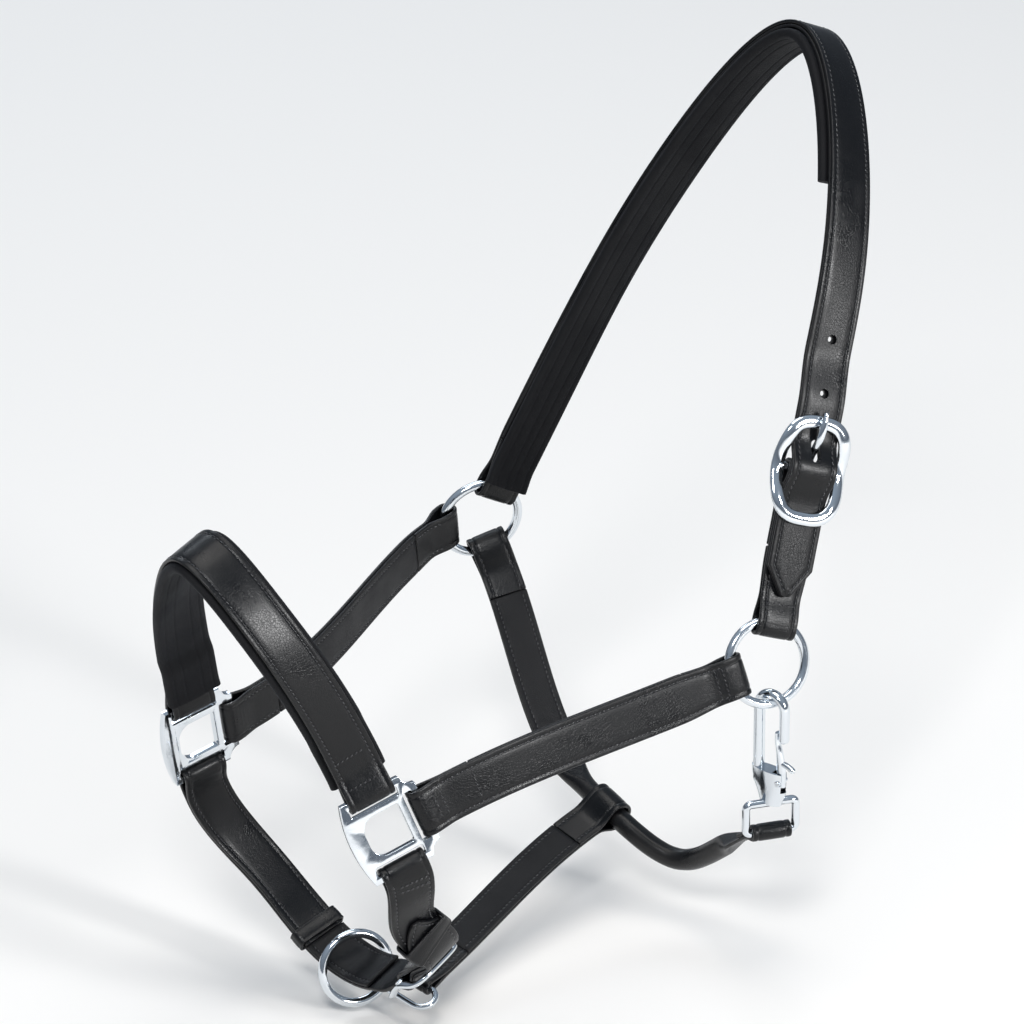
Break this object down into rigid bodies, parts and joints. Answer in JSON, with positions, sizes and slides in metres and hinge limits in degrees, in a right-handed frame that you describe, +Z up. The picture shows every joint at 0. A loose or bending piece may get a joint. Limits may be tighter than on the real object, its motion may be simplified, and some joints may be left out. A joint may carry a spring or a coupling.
{
  "type": "headcollar",
  "caption": "Leather headcollar with a padded crown and noseband, buckled crown and chin, rolled throat strap with a trigger snap, and chrome rings and squares.",
  "frame": {"origin": "underside of the poll padding on the middle plane, where the headcollar rests on the horse's poll", "axes": "+Z up, +X from the nose to the poll, +Y from the near (left) side to the off (right) side"},
  "size_m": [0.4359, 0.2609, 0.4663],
  "materials": {
    "leather": "soft gloss black with stitched edges",
    "lining": "satin black flesh-side lining",
    "suede": "matt black soft padding cover",
    "chrome": "bright plated"
  },
  "bodies": {
    "straps": {"chin_buckle_frame": "chrome", "chin_lining": "lining", "chin_link": "chrome", "crown_buckle_frame": "chrome", "crown_chape": "leather", "crown_lining": "lining", "crown_padding": "suede", "crown_strap": "leather", "far_cheek_lining": "lining", "far_cheek_strap": "leather", "far_square": "chrome", "jaw_lining": "lining", "jaw_strap": "leather", "near_cheek_lining": "lining", "near_cheek_strap": "leather", "near_chin_chape": "leather", "near_square": "chrome", "noseband_padding": "suede", "noseband_strap": "leather", "off_chin_strap": "leather", "snap_body": "chrome", "snap_gate_pin": "chrome", "throatlatch": "leather", "throatlatch_lining": "lining"},
    "near_ring": {"near_upper_ring": "chrome"},
    "far_ring": {"far_upper_ring": "chrome"},
    "lead_ring": {"chin_ring": "chrome"},
    "crown_tongue": {"crown_buckle_tongue": "chrome"},
    "chin_tongue": {"chin_buckle_tongue": "chrome"},
    "gate": {"snap_gate": "chrome"},
    "near_loop": {"near_keeper": "leather"},
    "chin_loop": {"chin_keeper": "leather"}
  },
  "joints": [
    {"name": "near_ring_turn", "type": "hinge", "parent": "straps", "child": "near_ring", "pos_m": [-0.13073, -0.113, -0.27407], "axis": [-0.2813, -0.9042, 0.3215], "continuous": true},
    {"name": "far_ring_turn", "type": "hinge", "parent": "straps", "child": "far_ring", "pos_m": [-0.13073, 0.113, -0.27407], "axis": [0.37, 0.9199, 0.13], "continuous": true},
    {"name": "lead_ring_turn", "type": "hinge", "parent": "straps", "child": "lead_ring", "pos_m": [-0.3161, -0.00097, -0.4321], "axis": [-0.3002, -0.9205, 0.2501], "continuous": true},
    {"name": "crown_tongue_lift", "type": "hinge", "parent": "straps", "child": "crown_tongue", "pos_m": [-0.08913, -0.09792, -0.18319], "axis": [0.8615, -0.3855, -0.3304], "range_deg": [0, 16]},
    {"name": "chin_tongue_lift", "type": "hinge", "parent": "straps", "child": "chin_tongue", "pos_m": [-0.31578, -0.0515, -0.40817], "axis": [-0.9477, -0.1754, -0.2667], "range_deg": [0, 14]},
    {"name": "gate_press", "type": "hinge", "parent": "straps", "child": "gate", "pos_m": [-0.13168, -0.1258, -0.33843], "axis": [0.9848, 0.1736, 0], "range_deg": [-15, 0], "stiffness_Nm_per_rad": 0.02, "springref_deg": 5.73},
    {"name": "near_keeper_slide", "type": "slide", "parent": "straps", "child": "near_loop", "axis": [-0.6487, -0.0224, 0.7607], "range_m": [-0.002, 0.002]},
    {"name": "chin_keeper_slide", "type": "slide", "parent": "straps", "child": "chin_loop", "axis": [0.1111, -0.8655, -0.4884], "range_m": [-0.003, 0.003]}
  ]
}
